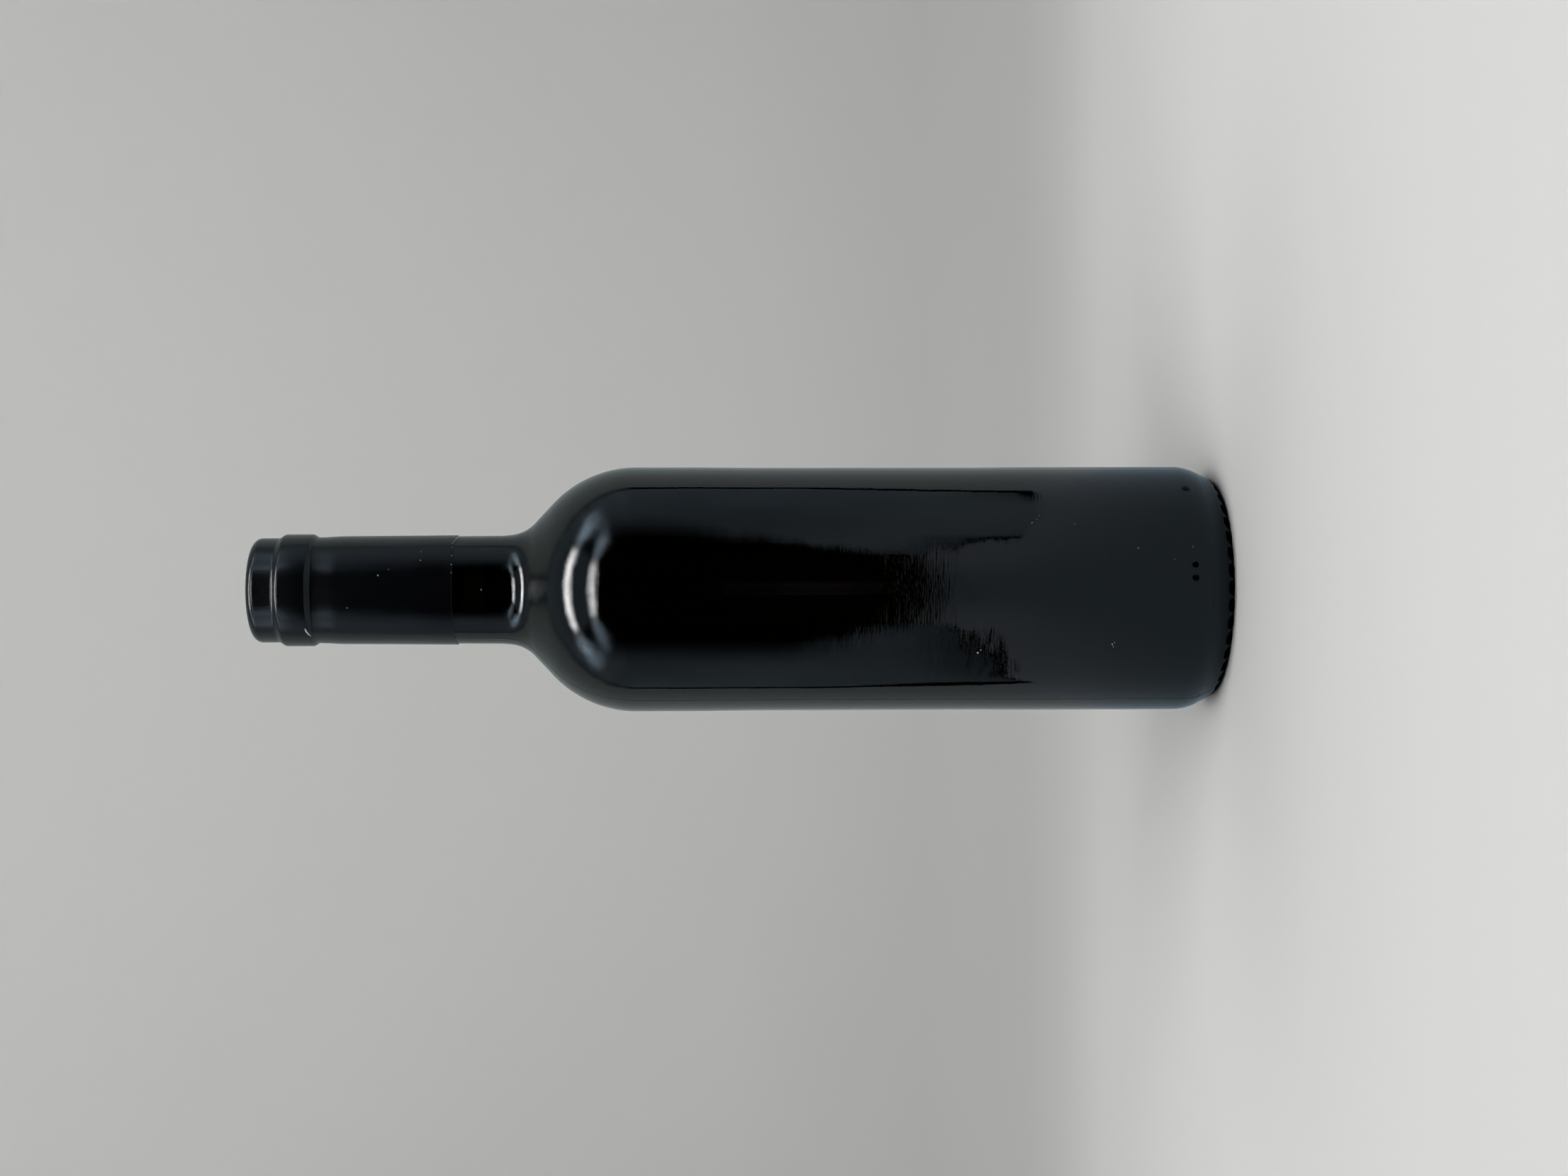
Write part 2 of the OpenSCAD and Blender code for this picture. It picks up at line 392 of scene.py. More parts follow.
class Recipe:
    """A node tree being written."""

    def __init__(self, tree):
        self.tree = tree

    def node(self, kind, settings=None, inputs=None, out=0):
        made = self.tree.nodes.new(kind)
        for key, value in (settings or {}).items():
            if key == "stops":
                ramp = made.color_ramp
                while len(ramp.elements) < len(value):
                    ramp.elements.new(0.5)
                for element, (place, colour) in zip(ramp.elements, value):
                    element.position = place
                    element.color = (*colour, 1)
            else:
                setattr(made, key, value)
        for key, value in (inputs or {}).items():
            if isinstance(value, Value):
                self.tree.links.new(value.socket, made.inputs[key])
            else:
                made.inputs[key].default_value = value
        return Value(self, made.outputs[out]) if made.outputs else made

    def blend(self, share, low, high):
        """A colour between two, by a share."""
        inputs = {0: share, 6: low, 7: high}
        return self.node("ShaderNodeMix", {"data_type": "RGBA"}, inputs, 2)

    def glow(self, colour, amount=1.0):
        """A surface that shines: a colour times an amount."""
        scaled = self.node("ShaderNodeVectorMath", {"operation": "SCALE"}, {0: colour, "Scale": amount})
        return self.node("ShaderNodeEmission", None, {"Color": scaled, "Strength": 1.0})

    def gloss(self, inputs):
        return self.node("ShaderNodeBsdfPrincipled", None, inputs)

    def either(self, share, first, second):
        """One surface where share is 0, the other where it is 1."""
        return self.node("ShaderNodeMixShader", None, {0: share, 1: first, 2: second})

    def length(self, x, y):
        square = x * x + y * y
        return square.math("SQRT", square)

    def place(self):
        """The point on the piece, in metres."""
        return self.node("ShaderNodeTexCoord", None, None, "Object")

    def axes(self, point):
        split = self.tree.nodes.new("ShaderNodeSeparateXYZ")
        self.tree.links.new(point.socket, split.inputs[0])
        return [Value(self, socket) for socket in split.outputs]

    def stretched(self, point, scale):
        return self.node("ShaderNodeMapping", None, {"Vector": point, "Scale": scale})

    def noise(self, point, scale, detail=2.0, roughness=0.5):
        inputs = {"Vector": point, "Scale": scale, "Detail": detail, "Roughness": roughness}
        return self.node("ShaderNodeTexNoise", None, inputs)

    def bump(self, height, distance, under=None):
        inputs = {"Height": height, "Distance": distance, "Strength": 1.0}
        if under:
            inputs["Normal"] = under
        return self.node("ShaderNodeBump", None, inputs)


def new_material(name):
    material = bpy.data.materials.new(name)
    material.use_nodes = True
    material.node_tree.nodes.clear()
    return material, Recipe(material.node_tree)


def finish_material(recipe, surface, volume=None):
    inputs = {"Surface": surface}
    if volume:
        inputs["Volume"] = volume
    recipe.node("ShaderNodeOutputMaterial", None, inputs)


# ---------------------------------------------------------------- finishes
# Height of each relief in metres, and how many waves of it go to a metre
WAVE_RELIEF, WAVE_SCALE = 0.00006, (60, 60, 130)
RIPPLE_RELIEF, RIPPLE_SCALE = 0.000005, (430, 430, 2300)
GRAIN_RELIEF, GRAIN_SCALE = 0.000021, 2400.0
LINE_RELIEF = 0.00008
FILM_GRAIN_RELIEF, FILM_GRAIN_SCALE = 0.000016, (3800, 3800, 1400)
CREASE_RELIEF, CREASE_SCALE = 0.00005, (700, 700, 90)
# Heights on the bottle in millimetres: where something begins and where it is full
RIPPLE_START, RIPPLE_END = (66, 74), (88, 100)
GRAIN_START = (140, 152)
FOOT_STEP = (3.5, 3.9)
LINE_HALF = 0.22
SEAM_FADE = (30, 160)
# The painted shade lobe on each foot bar: its half width in pitches, its height in bar heights, and the rim
# below
LOBE_HALF, LOBE_REACH, RIM_H = 0.49, 1.35, 0.5
SEAM_SHADOW = 0.13


def foot_shadow(around, z, far):
    """Painted shade: the dark lobes of the foot bars, and the rim that stands in its own shadow."""
    pitch = 2 * math.pi / BAR_COUNT
    across = abs(around.math("WRAP", around, pitch / 2, -pitch / 2)) / (pitch * LOBE_HALF)
    top = FOOT_R * (1 + sin(BAR_HIGH)) * LOBE_REACH * MM
    lobe = 1 - across * across * across - (z / top) * (z / top)
    rim = 1 - z / (RIM_H * MM)
    return lobe.larger(rim).smooth(0.0, 0.25) * far.above(FOOT_C[0] * MM)


def painted_mould_shade(r, x, y, z):
    """Painted shade on the foot bars, round the raised dots and along the seams, from 0 to 1."""
    around = x.math("ARCTAN2", x, y * -1)
    marks = foot_shadow(around, z, r.length(x, y))
    for turn, (half_w, half_h, depth) in zip(DOT_TURNS, DOT_SHADOWS):
        beside = (around - math.radians(turn)) * (BODY_R / half_w)
        over = (z - DOT_Z * MM) / (half_h * MM)
        marks = (1 - beside * beside - over * over).smooth(0.05, 0.35) * depth + marks
    for turn in SEAM_TURNS:
        beside = abs(around - math.radians(turn)) * (BODY_R / SEAM_SHADOW)
        strength = 0.9 - z.rise(*SEAM_FADE) * 0.6
        marks = (1 - beside.smooth(0.2, 1.0)) * strength * z.above(FOOT_TOP_Z * MM) + marks
    return marks.smaller(1.0)


def glass_skin(r, point, z):
    """Slow waves, fine ripples round the body, a line and a step at the heel, grain on the shoulder."""
    fine = r.noise(r.stretched(point, RIPPLE_SCALE), 1.0, 2.0, 0.5)
    grain = r.noise(point, GRAIN_SCALE, 3.0, 0.6)
    wave = r.noise(r.stretched(point, WAVE_SCALE), 1.0, 2.0)
    band = z.rise(*RIPPLE_START) * (1 - z.rise(*RIPPLE_END))
    line = 1 - abs(z - BASE_LINE_Z * MM).rise(0, LINE_HALF)
    skin = r.bump(wave, WAVE_RELIEF)
    skin = r.bump(fine * (band * 1.8 + 1.0), RIPPLE_RELIEF, skin)
    skin = r.bump(line + z.rise(*FOOT_STEP), LINE_RELIEF, skin)
    return r.bump(grain * z.rise(*GRAIN_START), GRAIN_RELIEF, skin)


# Colour that is left of light, and how fast it is taken up in the glass and in the wine
GLASS_TINT, GLASS_DENSITY = (0.255, 0.327, 0.0, 1), 1100.0
WINE_TINT, WINE_DENSITY = (0.45, 0.35, 0.10, 1), 100.0


def bottle_glass():
    """Very dark olive glass. Its inner side doesn't mirror, because the wine wets it."""
    material, r = new_material("bottle glass")
    point = r.place()
    x, y, z = r.axes(point)
    skin = glass_skin(r, point, z)
    glass = {
        "Base Color": (1, 1, 1, 1),
        "Roughness": 0.015,
        "IOR": 1.52,
        "Transmission Weight": 1.0,
    }
    outer = r.gloss({**glass, "Normal": skin})
    inner = r.gloss({**glass, "Specular Tint": (0, 0, 0, 1)})
    # Painted shade: a dark matt surface over the foot bars, round the dots and along the seams, in place of
    # their shadow
    painted_shade_surface = r.gloss({
        "Base Color": (0.0012, 0.0012, 0.0018, 1),
        "Roughness": 0.5,
        "Specular IOR Level": 0.0,
        "Normal": skin,
    })
    inside = r.node("ShaderNodeAttribute", {"attribute_name": "inside"}, None, "Fac")
    clear = r.either(inside, outer, inner)
    surface = r.either(painted_mould_shade(r, x, y, z) * (1 - inside), clear, painted_shade_surface)
    tint = {"Color": GLASS_TINT, "Density": GLASS_DENSITY}
    finish_material(r, surface, r.node("ShaderNodeVolumeAbsorption", None, tint))
    return material


def red_wine():
    material, r = new_material("red wine")
    surface = r.gloss({
        "Base Color": (0.95, 0.90, 0.80, 1),
        "Specular Tint": (0, 0, 0, 1),
        "Roughness": 0.0,
        "IOR": 1.34,
        "Transmission Weight": 1.0,
    })
    tint = {"Color": WINE_TINT, "Density": WINE_DENSITY}
    finish_material(r, surface, r.node("ShaderNodeVolumeAbsorption", None, tint))
    return material


def capsule_film():
    """Satin black film, shrunk on: a fine grain, and faint creases up and down."""
    material, r = new_material("capsule film")
    point = r.place()
    grain = r.noise(r.stretched(point, FILM_GRAIN_SCALE), 1.0, 2.0, 0.6)
    crease = r.noise(r.stretched(point, CREASE_SCALE), 1.0, 3.0, 0.55)
    patch = r.noise(point, 160.0, 4.0, 0.6)
    surface = r.gloss({
        "Base Color": r.blend(patch, (0.0001, 0.0001, 0.0004, 1), (0.0003, 0.0003, 0.0007, 1)),
        "Roughness": patch * 0.10 + 0.16,
        "IOR": 1.5,
        "Normal": r.bump(grain, FILM_GRAIN_RELIEF, r.bump(crease, CREASE_RELIEF)),
    })
    finish_material(r, surface)
    return material


# ---------------------------------------------------------------- the bottle's pieces
def new_piece(name, mesh, node, material):
    piece = bpy.data.objects.new(name, mesh)
    bpy.context.scene.collection.objects.link(piece)
    mesh.materials.clear()
    mesh.materials.append(material)
    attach(piece, "root")
    if node:
        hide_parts(node)
    return piece


def bar_tree(material):
    """Geometry nodes that raise the bars round the foot out of the glass."""
    tree = bpy.data.node_groups.new("foot bars", "GeometryNodeTree")
    face = tree.interface
    face.new_socket("Geometry", in_out="INPUT", socket_type="NodeSocketGeometry")
    for label, kind in (("Bar Count", "Int"), ("Bar Turn", "Float"), ("Bar Height", "Float")):
        face.new_socket(label, in_out="INPUT", socket_type=f"NodeSocket{kind}")
    face.new_socket("Geometry", in_out="OUTPUT", socket_type="NodeSocketGeometry")
    r = Recipe(tree)
    given = tree.nodes.new("NodeGroupInput")
    shape, count, width, height = (Value(r, given.outputs[i]) for i in range(4))
    x, y, _ = r.axes(r.node("GeometryNodeInputPosition"))
    around = x.math("ARCTAN2", x, y * -1)
    pitch = count.math("DIVIDE", 2 * math.pi, count)
    beside = around.math("WRAP", around, pitch * 0.5, pitch * -0.5)
    half = width * (math.pi / 360)
    band = r.node("GeometryNodeInputNamedAttribute", {"data_type": "FLOAT"}, {"Name": "bar band"})
    across = abs(beside) / half
    reach = across * across * across * across + band * band
    lift = (1 - reach).larger(0.0)
    lift = lift.smooth(0.0, 0.55)
    normal = r.node("GeometryNodeInputNormal")
    offset = r.node("ShaderNodeVectorMath", {"operation": "SCALE"}, {0: normal, "Scale": lift * height})
    moved = r.node("GeometryNodeSetPosition", None, {"Geometry": shape, "Offset": offset})
    whole = r.node("GeometryNodeRealizeInstances", None, {"Geometry": moved})
    dressed = r.node("GeometryNodeSetMaterial", None, {"Geometry": whole, "Material": material})
    done = tree.nodes.new("NodeGroupOutput")
    tree.links.new(dressed.socket, done.inputs[0])
    return tree


def through_nodes(name, mesh, tree, **sizes):
    """The plain mesh that a geometry node tree makes of a mesh."""
    holder = bpy.data.objects.new(name, mesh)
    bpy.context.scene.collection.objects.link(holder)
    modifier = holder.modifiers.new("nodes", "NODES")
    modifier.node_group = tree
    for item in tree.interface.items_tree:
        label = item.name.replace(" ", "_").lower()
        if item.in_out == "INPUT" and label in sizes:
            modifier[item.identifier] = sizes[label]
    graph = bpy.context.evaluated_depsgraph_get()
    made = bpy.data.meshes.new_from_object(holder.evaluated_get(graph))
    holder.modifiers.clear()
    bpy.data.objects.remove(holder)
    made.name = name
    return made


# How far from the foot's arc a point may lie to be on it, and the value of points that aren't
FOOT_TOLERANCE, OFF_THE_FOOT = 0.05, 2.0


def mark_bar_band(mesh):
    """Stores how far each point of the foot lies from the middle of the band of bars: 1 is its edge."""
    band = mesh.attributes.new("bar band", "FLOAT", "POINT")
    places = np.empty(len(mesh.vertices) * 3)
    mesh.vertices.foreach_get("co", places)
    places = places.reshape(-1, 3) / MM
    radius = np.hypot(places[:, 0], places[:, 1])
    level = np.degrees(np.arctan2(places[:, 2] - FOOT_C[1], radius - FOOT_C[0]))
    from_middle = (level - (BAR_LOW + BAR_HIGH) / 2) / ((BAR_HIGH - BAR_LOW) / 2)
    on_foot = np.abs(np.hypot(radius - FOOT_C[0], places[:, 2] - FOOT_C[1]) - FOOT_R) < FOOT_TOLERANCE
    band.data.foreach_set("value", np.where(on_foot, np.abs(from_middle), OFF_THE_FOOT))


def build_glass():
    material = bottle_glass()
    marks = [(turn, 1.7, 14) for turn in DOT_TURNS] + [(turn, 0.6, 6) for turn in SEAM_TURNS]
    outside, inside = glass_outline()
    mesh = lathe("bottle skin", outside + inside, lathe_turns(marks), mould_relief, inside[0])
    mark_bar_band(mesh)
    tree = bar_tree(material)
    mesh = through_nodes("glass", mesh, tree, bar_count=BAR_COUNT, bar_turn=BAR_TURN, bar_height=BAR_H * MM)
    mesh.shade_smooth()
    return new_piece("glass_bottle", mesh, "bottle", material)


# How far the wine reaches into the glass
WINE_INTO = 0.12


def build_wine():
    """The wine reaches just into the glass, so that no air shows between them."""
    into = WINE_INTO
    shoulder = shoulder_outline(BODY_WALL - into, NECK_WALL - into, (16, 12, 3))
    outline = (
        [(0, PUNT_C[1] + FLOOR_BALL - into)]
        + arc(PUNT_C, FLOOR_BALL - into, 86, CORNER_TURN, 10)
        + arc(CORNER_C, INNER_ROUND + into, CORNER_TURN - 180, 0, 8)
        + [(INNER_R + into, z) for z in (40, 100)]
        + shoulder
        + [(BORE_R + into, FILL_Z), (BORE_R - 0.3, FILL_Z - 0.25), (BORE_R - 1.2, FILL_Z - 0.7)]
        + [(BORE_R - 3, FILL_Z - 0.95), (0, FILL_Z - 1.0)]
    )
    turns = [360 * i / 128 for i in range(128)]
    return new_piece("wine_fill", lathe("wine fill", outline, turns), "wine", red_wine())


def film_relief(turns, radius, height):
    """Small unevenness of the shrunk film."""
    around = np.radians(turns)
    up = (height - CAPSULE_Z) / 10
    wave = np.sin(3 * around + 1.3 * up) * 0.5 + np.sin(7 * around - 2.1 * up + 1) * 0.3
    return 0.012 * (wave - 0.8) * (height > CAPSULE_Z - 1)


def capsule_outline():
    """The film's skin, from the middle of its top down inside and up outside."""
    inside = mouth_outline(0.004)
    outside = mouth_outline(FILM)
    edge = (inside[0][0] + FILM / 2, CAPSULE_Z + FILM / 2)
    hem = arc(edge, FILM / 2, 180, 360, 6)
    disc = [(9.9, BOTTLE_H + FILM), (9.7, BOTTLE_H + FILM - 0.05), (9.5, BOTTLE_H + FILM - 0.12)]
    disc += [(9.1, BOTTLE_H + FILM - 0.14), (5, BOTTLE_H + FILM - 0.14), (0, BOTTLE_H + FILM - 0.14)]
    return [(0, BOTTLE_H + 0.004)] + inside[:0:-1] + hem + outside[1:] + disc


def build_capsule():
    turns = [360 * i / 256 for i in range(256)]
    mesh = lathe("capsule", capsule_outline(), turns, film_relief)
    return new_piece("capsule_sleeve", mesh, "capsule", capsule_film())


# Specks of dust: turn, height and size in millimetres
GLASS_SPECKS = (
    (-30.4, 61.9, 0.42), (-28.9, 61.2, 0.30), (-26.1, 29.8, 0.30), (-25.2, 29.3, 0.22), (-27.2, 29.5, 0.18),
    (30.4, 38.6, 0.16), (18.3, 23.8, 0.18), (18.9, 10.7, 0.15), (13.0, 15.2, 0.14), (33.0, 47.5, 0.18),
    (31.0, 48.8, 0.22), (35.0, 46.9, 0.16), (0.1, 181.6, 0.22),
)
FILM_SPECKS = (
    (43.9, 196.7, 0.20), (32.4, 196.6, 0.26), (21.7, 204.2, 0.16), (15.4, 206.7, 0.34), (-18.6, 214.2, 0.18),
    (58.1, 189.3, 0.30), (50.0, 189.2, 0.16), (38.0, 189.1, 0.20), (27.0, 189.0, 0.24), (18.0, 188.95, 0.16),
)
NICK = ((-42.4, 224.9), (-46.5, 224.7), (-50.0, 224.45), (-55.9, 224.0))


def skin_radius(outline, z):
    heights = [p[1] for p in outline]
    radii = [p[0] for p in outline]
    return float(np.interp(z, heights, radii))


def add_speck(shape, centre, size, turn):
    """A flat crumb that lies on the skin."""
    flat = Matrix.Diagonal((size, size * 0.30, size * 0.8, 1))
    face_out = Matrix.Rotation(math.radians(turn), 4, "Z")
    bmesh.ops.create_icosphere(
        shape, subdivisions=2, radius=0.5 * MM, matrix=Matrix.Translation(centre) @ face_out @ flat)


def on_skin(turn, z, radius):
    return Vector((radius * sin(turn), -radius * cos(turn), z)) * MM


def dust_material():
    material, r = new_material("pale dust")
    patch = r.noise(r.place(), 4000.0, 2.0)
    colour = r.blend(patch, (0.45, 0.45, 0.42, 1), (0.80, 0.80, 0.76, 1))
    finish_material(r, r.gloss({"Base Color": colour, "Roughness": 0.8}))
    return material


def mesh_of(shape, name):
    mesh = bpy.data.meshes.new(name)
    shape.to_mesh(mesh)
    shape.free()
    mesh.shade_smooth()
    return mesh


def build_specks(name, specks, outline, material):
    shape = bmesh.new()
    for turn, z, size in specks:
        add_speck(shape, on_skin(turn, z, skin_radius(outline, z) - size * 0.06), size, turn)
    return new_piece(name, mesh_of(shape, name), None, material)


def build_thread(name, path, thin, material):
    """A thin round thread through points on the skin."""
    shape = bmesh.new()
    sides = 6
    rings = []
    for i, point in enumerate(path):
        along = (path[min(i + 1, len(path) - 1)] - path[max(i - 1, 0)]).normalized()
        out = Vector((point.x, point.y, 0)).normalized()
        side = along.cross(out).normalized()
        narrow = thin * (0.45 if i in (0, len(path) - 1) else 1.0) * MM
        rings.append([shape.verts.new(point + (side * cos(60 * j) + out * sin(60 * j)) * narrow)
                      for j in range(sides)])
    for low, high in zip(rings, rings[1:]):
        for j in range(sides):
            shape.faces.new((low[j], low[(j + 1) % sides], high[(j + 1) % sides], high[j]))
    shape.faces.new(rings[0][::-1])
    shape.faces.new(rings[-1])
    bmesh.ops.recalc_face_normals(shape, faces=shape.faces)
    return new_piece(name, mesh_of(shape, name), None, material)


def build_dust():
    """Dust, a scuff on the ring's lower edge and a fibre caught in the film's cut edge."""
    pale = dust_material()
    body = foot_outline() + body_outline() + shoulder_outline(0, 0) + [(neck_at(CAPSULE_Z), CAPSULE_Z)]
    film = mouth_outline(FILM)
    build_specks("dust_on_glass", GLASS_SPECKS, body, pale)
    build_specks("dust_on_capsule", FILM_SPECKS, film, pale)
    scuff = [on_skin(turn, z, skin_radius(film, z) + 0.01) for turn, z in NICK]
    build_thread("scuff", scuff, 0.20, pale)
    edge = neck_at(CAPSULE_Z) + FILM
    fibre = [on_skin(57 + 5.5 * i, CAPSULE_Z + 0.4 - 0.28 * i, edge + 0.05 * i) for i in range(6)]
    build_thread("fibre", fibre, 0.045, pale)


# ---------------------------------------------------------------- the tent of white sheets
TENT_FRONT = -0.63
TENT_TOP = 0.70
FLOOR_FRONT = -0.72
CEILING_BACK, CEILING_HALF = 0.058, 0.40
POST_HALF, CROSS_HALF = 0.009, 0.008
FRONT_Y, FRONT_HALF, FRONT_TOP = -1.3, 0.55, 1.1
# Each side sheet in plan: at the floor, at bottle height and at the ceiling, from front to back
RIGHT_SHEET = (
    ((0.406, -0.70), (0.388, -0.40), (0.315, -0.29), (0.330, -0.12), (0.345, 0.050)),
    ((0.400, -0.70), (0.400, -0.40), (0.400, -0.26), (0.400, -0.07), (0.400, 0.120)),
    ((0.400, -0.70), (0.400, -0.40), (0.400, -0.26), (0.400, -0.10), (0.400, CEILING_BACK)),
)
LEFT_SHEET = (
    ((-0.415, -0.70), (-0.360, -0.46), (-0.436, -0.30), (-0.470, -0.01), (-0.370, 0.028)),
    ((-0.400, -0.70), (-0.400, -0.46), (-0.400, -0.28), (-0.400, -0.09), (-0.400, 0.092)),
    ((-0.400, -0.70), (-0.400, -0.46), (-0.400, -0.28), (-0.400, -0.12), (-0.400, CEILING_BACK - 0.015)),
)
SHEET_HEIGHTS = (0.0, 0.09, TENT_TOP)
STRIP_YS = (-0.21, -0.61)
STRIP_WIDTHS = (0.045, 0.070)
STRIP_GLOWS = (26.0, 22.0)
STRIP_LENGTH, STRIP_Z = 0.74, TENT_TOP - 0.01
# Share of a row's brightness that it throws on the sheet, and the soft lamp above: height, side and watts
STRIP_SHARE = 0.85
SOFT_Z, SOFT_SIDE, SOFT_POWER = 0.95, 1.2, 3.4
SWEEP_START, SWEEP_R, SWEEP_TOP = 0.17, 0.60, 1.0
SWEEP_HALF, SWEEP_STEPS = 2.0, 32


def stage_mesh(name, points, faces, material):
    mesh = bpy.data.meshes.new(name)
    mesh.from_pydata(points, [], faces)
    mesh.shade_smooth()
    sheet = bpy.data.objects.new(name, mesh)
    bpy.context.scene.collection.objects.link(sheet)
    mesh.materials.append(material)
    return sheet


# Paleness of the sheet along its way from the front up the wall, in metres, with painted shade: darkest just
# where the floor curves up into the wall
SWEEP_PAINTED_SHADES = (
    (0.08, 0.687), (0.14, 0.714), (0.21, 0.739), (0.30, 0.729), (0.40, 0.730),
    (0.457, 0.724), (0.489, 0.690), (0.52, 0.647), (0.57, 0.612), (0.616, 0.620),
    (0.66, 0.635), (0.70, 0.645), (0.78, 0.710), (0.853, 0.775), (0.90, 0.790),
)
SWEEP_PATH = 1.45
# Where along that way the wall begins to glow, and how fast it brightens
SWEEP_GLOW_FROM, SWEEP_GLOW = 0.855, 0.375
# How far from the bottle the sheet begins to glow and glows fully, and how much
FAR_FLOOR, FAR_GLOW = (0.88, 1.7), 0.42
# Painted light that the glass mirrors: the floor's middle and sides, and the wall low down and higher up
FLOOR_MIDDLE, FLOOR_SIDE = (0.235, 0.305, 0.355, 1), (0.35, 0.40, 0.46, 1)
WALL_LOW, WALL_HIGH = (0.325, 0.36, 0.37, 1), (0.31, 0.355, 0.36, 1)
# Painted contact shadow in the mirrored floor: full within the first distance from the axis, gone past the
# second, in millimetres
CREVICE = (24.5, 34)


def grid_faces(rows, columns):
    """Four-sided faces between rows of points."""
    return [
        (i * columns + j, i * columns + j + 1, (i + 1) * columns + j + 1, (i + 1) * columns + j)
        for i in range(rows - 1) for j in range(columns - 1)
    ]


def sweep_in_glass(r, x, y, z, near):
    """Painted light that the glass mirrors of the sheet, with painted shadow where the bottle stands on it.
    """
    lit = y.smooth(FLOOR_FRONT - 0.02, FLOOR_FRONT + 0.02) * (y.smooth(-0.74, -0.50) * 0.22 + 0.78)
    floor_glow = r.blend(abs(x).smooth(0.05, 0.28), FLOOR_MIDDLE, FLOOR_SIDE)
    wall_glow = r.blend(z.smooth(0.0, 0.35), WALL_LOW, WALL_HIGH)
    glow = r.blend(y.smooth(0.06, 0.20), floor_glow, wall_glow)
    return r.glow(glow, lit * (near.rise(*CREVICE) * 0.85 + 0.15))


def sweep_as_seen(r, y, z, near):
    """The sheet itself: matt, with painted shade along its way, painted shadow round the bottle, and painted
    light high on the wall and far off.
    """
    path = y + z * 0.6 + 0.3
    stops = [(t / SWEEP_PATH, (c, c * 1.004, c * 0.985)) for t, c in SWEEP_PAINTED_SHADES]
    shade = r.node("ShaderNodeValToRGB", {"stops": stops}, {0: path / SWEEP_PATH})
    # Painted shadow of the bottle on the sheet, stronger in front of it
    painted_bottle_shadow = (near * -7).math("EXPONENT", near * -7)
    in_front = (y * -1 / (near + 0.01)).smooth(-0.1, 0.9)
    kept = 1 - painted_bottle_shadow * (in_front * 0.18 + 0.13)
    matt = r.node("ShaderNodeBsdfDiffuse", None, {"Color": r.blend(kept, (0, 0, 0, 1), shade)})
    # Painted light: the wall glows high up, and the sheet glows far from the bottle
    high = (path - SWEEP_GLOW_FROM).larger(0.0) * SWEEP_GLOW
    lift = r.glow((1, 1, 0.98), high + near.smooth(*FAR_FLOOR) * FAR_GLOW)
    return r.node("ShaderNodeAddShader", None, {0: matt, 1: lift})


def sweep_material():
    """White sheet, matt to look at, and painted light of a set brightness where the glass mirrors it."""
    material, r = new_material("white sweep")
    x, y, z = r.axes(r.place())
    near = r.length(x, y)
    ray = r.node("ShaderNodeLightPath", None, None, "Is Glossy Ray")
    finish_material(r, r.either(ray, sweep_as_seen(r, y, z, near), sweep_in_glass(r, x, y, z, near)))
    return material


def build_sweep():
    """Floor that curves up into a wall behind."""
    profile = [(-4.0, 0.0), (-1.0, 0.0), (-0.3, 0.0), (SWEEP_START, 0.0)]
    for i in range(1, SWEEP_STEPS + 1):
        a = 90 * i / SWEEP_STEPS
        profile.append((SWEEP_START + SWEEP_R * sin(a), SWEEP_R * (1 - cos(a))))
    profile.append((SWEEP_START + SWEEP_R, SWEEP_R + SWEEP_TOP))
    points = [(s * SWEEP_HALF, y, z) for y, z in profile for s in (-1, 1)]
    return stage_mesh("white sweep", points, grid_faces(len(profile), 2), sweep_material())


# How far the beam of each row of lamps moves back down a side sheet, per metre
BEAM_LEANS = (0.39, 0.97)
# Where the lit part of a side sheet begins, on the floor and above the slant
LIT_FROM_LOW, LIT_FROM_HIGH = -0.68, -0.37


def beams_on_sheet(r, point, y, z):
    """Streaky light of the two rows of lamps on the upper part of a side sheet."""
    streak = r.noise(r.stretched(point, (14, 75, 18)), 1.0, 4.0, 0.6)
    below = TENT_TOP - z
    beams = 0.0
    for strip_y, lean in zip(STRIP_YS, BEAM_LEANS):
        off = (y - strip_y - below * lean) / (below * 0.15 + 0.03)
        beams = (0 - off * off).math("EXPONENT", 0 - off * off) + beams
    bright = beams * z.smooth(0.30, 0.42) * (z * 36 - 3.0) * (streak.smooth(0.38, 0.66) + 0.15)
    return bright * (0.02 - y).smooth(0.0, 0.07)


def lit_part(y, z, slant_z, pale_foot):
    """A side sheet is lit behind its slanting front edge, and has painted shade along its foot but for a
    stretch.
    """
    share = z.smooth(0.0, slant_z)
    edge = share * (LIT_FROM_HIGH - LIT_FROM_LOW) + LIT_FROM_LOW
    softness = share * 0.28 + 0.012
    start, end = pale_foot
    pale = y.smooth(start, start + 0.06) * (end - y).smooth(0.0, 0.09)
    # Painted shade along the sheet's foot, where it meets the floor
    foot = z.rise(5, 8) * 0.6 + z.rise(8, 45) * 0.4
    foot = 1 - (1 - foot) * (1 - pale)
    return ((y - edge) / softness).smooth(0.0, 1.0) * foot


def wall_material(name, slant_z, shade, pale_foot):
    """Painted light: the glow of a side sheet as the glass mirrors it, brighter and dimmer over its folds.
    """
    material, r = new_material(name)
    point = r.place()
    _, y, z = r.axes(point)
    fold = r.noise(r.stretched(point, (3, 3, 12)), 1.0, 3.0)
    glow = r.blend(fold.smooth(0.3, 0.7), (0.20, 0.265, 0.32, 1), (0.29, 0.365, 0.43, 1))
    lit = lit_part(y, z, slant_z, pale_foot)
    finish_material(r, r.glow(glow, (lit + beams_on_sheet(r, point, y, z)) * shade))
    return material


def hide_but_in_mirrors(sheet):
    for ray in ("camera", "shadow", "transmission", "diffuse"):
        setattr(sheet, f"visible_{ray}", False)


